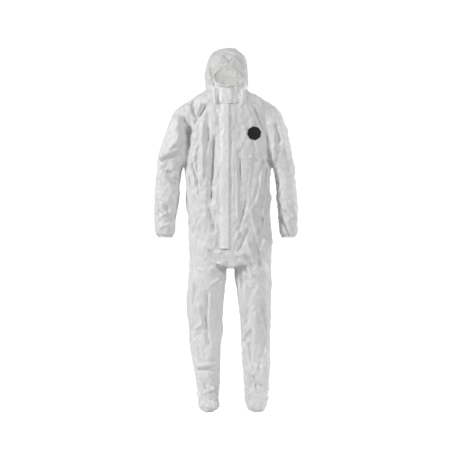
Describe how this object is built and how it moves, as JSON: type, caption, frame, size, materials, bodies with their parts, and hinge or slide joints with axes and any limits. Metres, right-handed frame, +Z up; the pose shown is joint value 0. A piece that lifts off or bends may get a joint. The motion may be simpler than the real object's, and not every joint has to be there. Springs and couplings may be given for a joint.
{
  "type": "hooded protective coverall",
  "caption": "White hooded protective coverall with attached socks, elastic cuffs and face opening, a covered front zip, a chin flap and a plain black chest badge.",
  "frame": {"origin": "middle of the neck base at the height where the garment rests on the wearer's shoulders", "axes": "+Z up, the front faces -Y, +X towards the wearer's left"},
  "size_m": [0.7302, 0.3349, 1.842],
  "materials": {
    "fabric": "white film-faced nonwoven, finely crinkled, soft satin sheen",
    "elastic": "covered elastic, slightly yellowish, matte",
    "adhesive": "translucent white release liner over adhesive",
    "zip_tape": "woven polyester tape, matte",
    "zip_plastic": "moulded nylon, slightly glossy",
    "label": "blank woven label",
    "badge": "plain black printed film patch, matte"
  },
  "bodies": {
    "trunk": {"front_right_panel": "fabric", "front_left_panel": "fabric", "back_right_panel": "fabric", "back_left_panel": "fabric", "right_shoulder_panel": "fabric", "left_shoulder_panel": "fabric", "crotch_gusset": "fabric", "waist_elastic": "elastic", "neck_label": "label", "zip_tape_left": "zip_tape", "zip_tape_right": "zip_tape", "zip_coil_left": "zip_plastic", "zip_coil_right": "zip_plastic", "zip_top_stop_left": "zip_plastic", "zip_top_stop_right": "zip_plastic", "zip_bottom_stop": "zip_plastic", "chest_badge": "badge", "neck_band": "fabric", "right_shoulder_section": "fabric", "left_shoulder_section": "fabric", "right_hip_section": "fabric", "left_hip_section": "fabric"},
    "hood": {"hood_right_panel": "fabric", "hood_left_panel": "fabric", "hood_crown_panel": "fabric", "face_hem": "fabric", "face_elastic": "elastic"},
    "chin_flap": {"chin_flap": "fabric", "chin_flap_adhesive": "adhesive"},
    "storm_flap": {"storm_flap": "fabric", "storm_flap_adhesive": "adhesive"},
    "slider": {"zip_slider": "zip_plastic"},
    "pull": {"zip_pull": "zip_plastic"},
    "right_upper_arm": {"right_upper_sleeve": "fabric", "right_elbow_section": "fabric"},
    "right_forearm": {"right_lower_sleeve": "fabric", "right_cuff": "fabric", "right_cuff_elastic": "elastic"},
    "right_upper_leg": {"right_thigh": "fabric", "right_knee_section": "fabric"},
    "right_lower_leg": {"right_shin": "fabric", "right_sock": "fabric", "right_sock_sole": "fabric"},
    "left_upper_arm": {"left_upper_sleeve": "fabric", "left_elbow_section": "fabric"},
    "left_forearm": {"left_lower_sleeve": "fabric", "left_cuff": "fabric", "left_cuff_elastic": "elastic"},
    "left_upper_leg": {"left_thigh": "fabric", "left_knee_section": "fabric"},
    "left_lower_leg": {"left_shin": "fabric", "left_sock": "fabric", "left_sock_sole": "fabric"}
  },
  "joints": [
    {"name": "hood_fold", "type": "hinge", "parent": "trunk", "child": "hood", "pos_m": [0.002, 0.097, 0.03], "axis": [-1, 0, 0], "range_deg": [0, 95], "deforming": ["neck_band"]},
    {"name": "chin_flap_open", "type": "hinge", "parent": "trunk", "child": "chin_flap", "pos_m": [0.048, -0.1085, -0.02], "axis": [0, 0.0375, 0.9993], "range_deg": [0, 140]},
    {"name": "storm_flap_open", "type": "hinge", "parent": "trunk", "child": "storm_flap", "pos_m": [0.018, -0.12405, -0.4], "axis": [0, 0.0375, 0.9993], "range_deg": [0, 140]},
    {"name": "zip_slide", "type": "slide", "parent": "trunk", "child": "slider", "axis": [0, -0.0375, -0.9993], "range_m": [0, 0.74]},
    {"name": "zip_pull_lift", "type": "hinge", "parent": "slider", "child": "pull", "pos_m": [0, -0.10558, -0.00081], "axis": [-1, 0, 0], "range_deg": [0, 5]},
    {"name": "right_shoulder", "type": "hinge", "parent": "trunk", "child": "right_upper_arm", "pos_m": [-0.29, 0.004, -0.185], "axis": [0, 1, 0], "range_deg": [0, 30], "deforming": ["right_shoulder_section"]},
    {"name": "right_elbow", "type": "hinge", "parent": "right_upper_arm", "child": "right_forearm", "pos_m": [-0.291, 0, -0.44], "axis": [-1, 0, 0], "range_deg": [0, 80], "deforming": ["right_elbow_section"]},
    {"name": "right_hip", "type": "hinge", "parent": "trunk", "child": "right_upper_leg", "pos_m": [-0.09, -0.008, -0.8], "axis": [-1, 0, 0], "range_deg": [0, 70], "deforming": ["right_hip_section"]},
    {"name": "right_knee", "type": "hinge", "parent": "right_upper_leg", "child": "right_lower_leg", "pos_m": [-0.106, -0.026, -1.19], "axis": [1, 0, 0], "range_deg": [0, 70], "deforming": ["right_knee_section"]},
    {"name": "left_shoulder", "type": "hinge", "parent": "trunk", "child": "left_upper_arm", "pos_m": [0.292, 0.004, -0.185], "axis": [0, -1, 0], "range_deg": [0, 30], "deforming": ["left_shoulder_section"]},
    {"name": "left_elbow", "type": "hinge", "parent": "left_upper_arm", "child": "left_forearm", "pos_m": [0.293, 0, -0.44], "axis": [-1, 0, 0], "range_deg": [0, 80], "deforming": ["left_elbow_section"]},
    {"name": "left_hip", "type": "hinge", "parent": "trunk", "child": "left_upper_leg", "pos_m": [0.135, -0.008, -0.8], "axis": [-1, 0, 0], "range_deg": [0, 70], "deforming": ["left_hip_section"]},
    {"name": "left_knee", "type": "hinge", "parent": "left_upper_leg", "child": "left_lower_leg", "pos_m": [0.147, -0.026, -1.19], "axis": [1, 0, 0], "range_deg": [0, 70], "deforming": ["left_knee_section"]}
  ]
}
